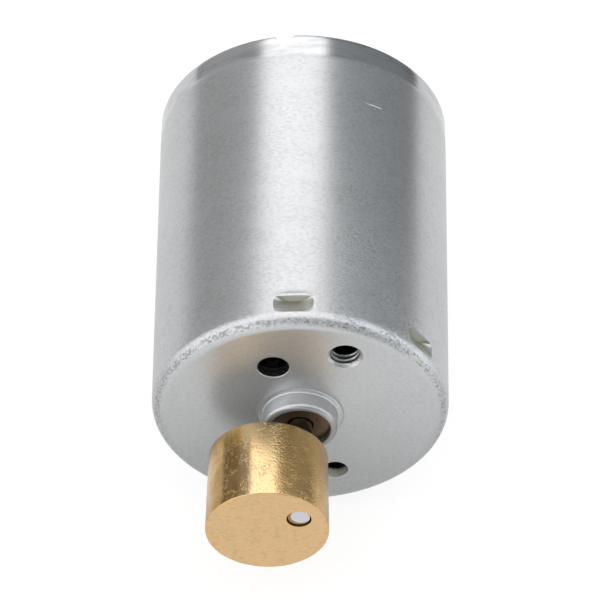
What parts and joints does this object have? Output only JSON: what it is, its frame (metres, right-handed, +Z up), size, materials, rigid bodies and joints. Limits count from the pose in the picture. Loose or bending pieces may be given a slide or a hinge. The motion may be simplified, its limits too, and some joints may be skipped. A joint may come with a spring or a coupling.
{
  "type": "vibration motor",
  "caption": "Round-can brushed vibration motor: plated steel can with a front boss and tapped holes, plastic end bell with solder tags, and an off-centre brass weight that spins on the shaft.",
  "frame": {"origin": "on the shaft's axis, in the plane of the front mounting face", "axes": "+Y along the shaft's axis from the front face towards the terminals, +Z up with the motor lying on its side as pictured"},
  "size_m": [0.0244, 0.0451, 0.0244],
  "materials": {
    "plated_steel": "satin plated sheet, drawn, with fine mottled grain and a smoother band at the rear rim",
    "sintered_bronze": "dull brown, oil-soaked and porous",
    "ferrite": "ground dark grey ferrite",
    "spring_steel": "drawn wire",
    "black_nylon": "moulded, slightly rough",
    "tin_plate": "tinned brass tag",
    "spring_bronze": "rolled leaf spring",
    "carbon": "pressed carbon",
    "ground_steel": "ground, with rough-cut ends",
    "turned_brass": "drawn bar, with turned ends",
    "laminations": "stacked sheet, with fine lines between sheets",
    "insulating_fibre": "pressed fibre sheet",
    "enamelled_copper": "enamelled copper wire",
    "moulded_sleeve": "moulded brown resin",
    "commutator_copper": "copper, brushed by use",
    "clamping_fibre": "fibre ring",
    "spacer_nylon": "moulded nylon",
    "white_nylon": "smooth slippery nylon"
  },
  "bodies": {
    "housing": {"can": "plated_steel", "front_bush": "sintered_bronze", "rear_bush": "sintered_bronze", "magnet_a": "ferrite", "magnet_b": "ferrite", "magnet_clip_a": "spring_steel", "magnet_clip_b": "spring_steel", "end_bell": "black_nylon", "terminal_positive": "tin_plate", "terminal_negative": "tin_plate", "brush_arm_positive": "spring_bronze", "brush_arm_negative": "spring_bronze", "brush_positive": "carbon", "brush_negative": "carbon"},
    "rotor": {"shaft": "ground_steel", "eccentric_weight": "turned_brass", "rotor_core": "laminations", "insulator_front": "insulating_fibre", "insulator_rear": "insulating_fibre", "winding_1": "enamelled_copper", "winding_2": "enamelled_copper", "winding_3": "enamelled_copper", "commutator_sleeve": "moulded_sleeve", "commutator_segment_1": "commutator_copper", "commutator_segment_2": "commutator_copper", "commutator_segment_3": "commutator_copper", "commutator_ring": "clamping_fibre", "front_spacer": "spacer_nylon", "front_thrust_washer": "white_nylon", "rear_thrust_washer": "white_nylon"}
  },
  "joints": [
    {"name": "rotor_spin", "type": "hinge", "parent": "housing", "child": "rotor", "pos_m": [0, 0, 0], "axis": [0, -1, 0], "continuous": true}
  ]
}
